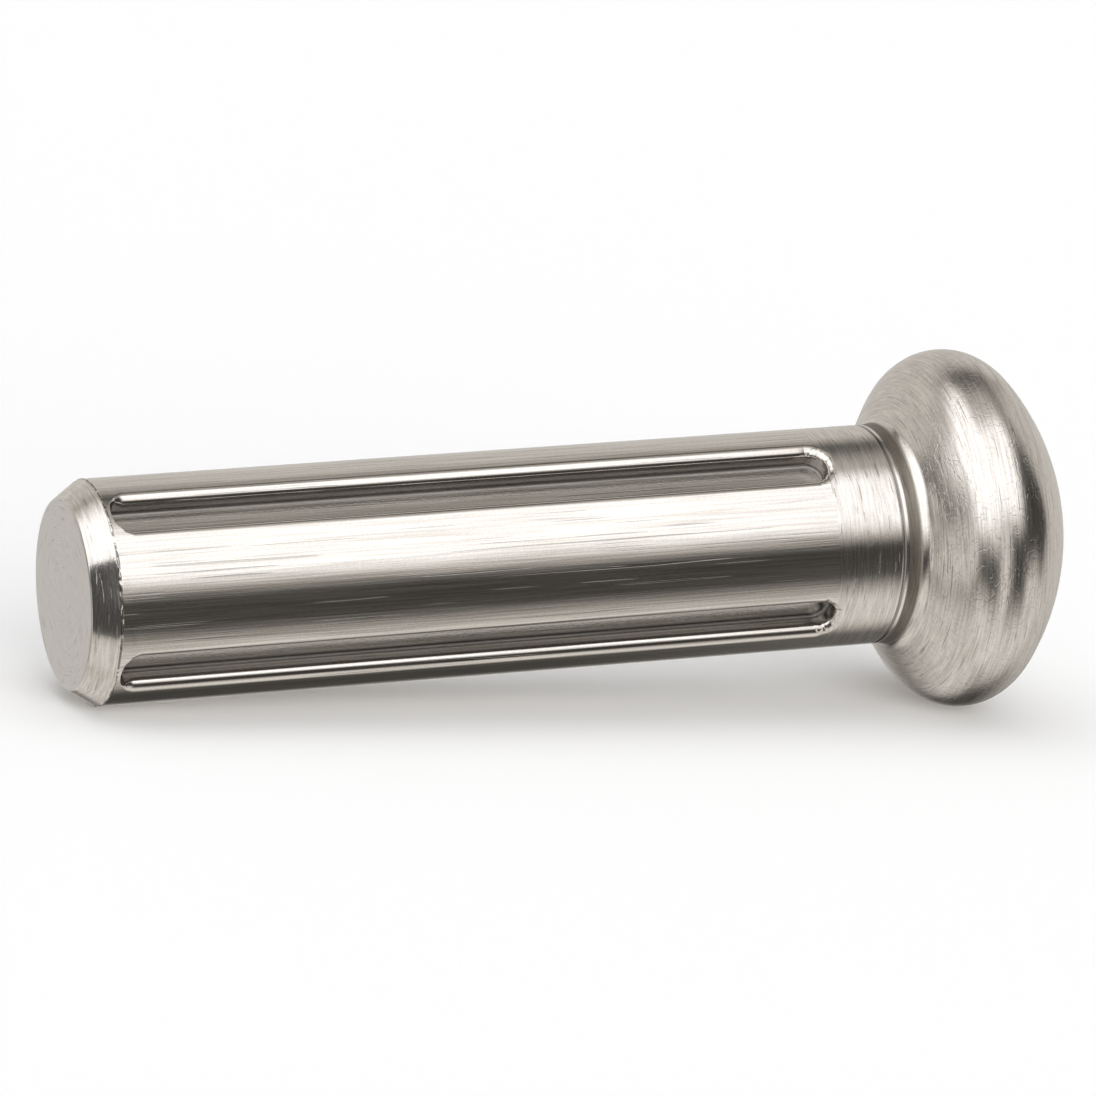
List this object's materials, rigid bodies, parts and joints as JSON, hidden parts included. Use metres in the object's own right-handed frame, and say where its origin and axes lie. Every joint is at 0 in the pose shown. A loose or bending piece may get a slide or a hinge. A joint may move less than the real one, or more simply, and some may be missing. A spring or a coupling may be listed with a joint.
{
  "type": "round head grooved pin",
  "caption": "Steel locating pin with a rounded mushroom head, a plain neck, long closed grooves milled along the shank and a chamfered flat tip.",
  "frame": {"origin": "centre of the flat end of the tip, on which the pin stands", "axes": "+Z along the pin's axis, from the tip to the top of the head"},
  "size_m": [0.0164, 0.0164, 0.047],
  "materials": {
    "turned_steel": "bare stainless steel, fine brush lines along the shank and fine turning marks round the neck, head and tip"
  },
  "bodies": {
    "root": {"grooved_pin": "turned_steel"}
  },
  "joints": []
}
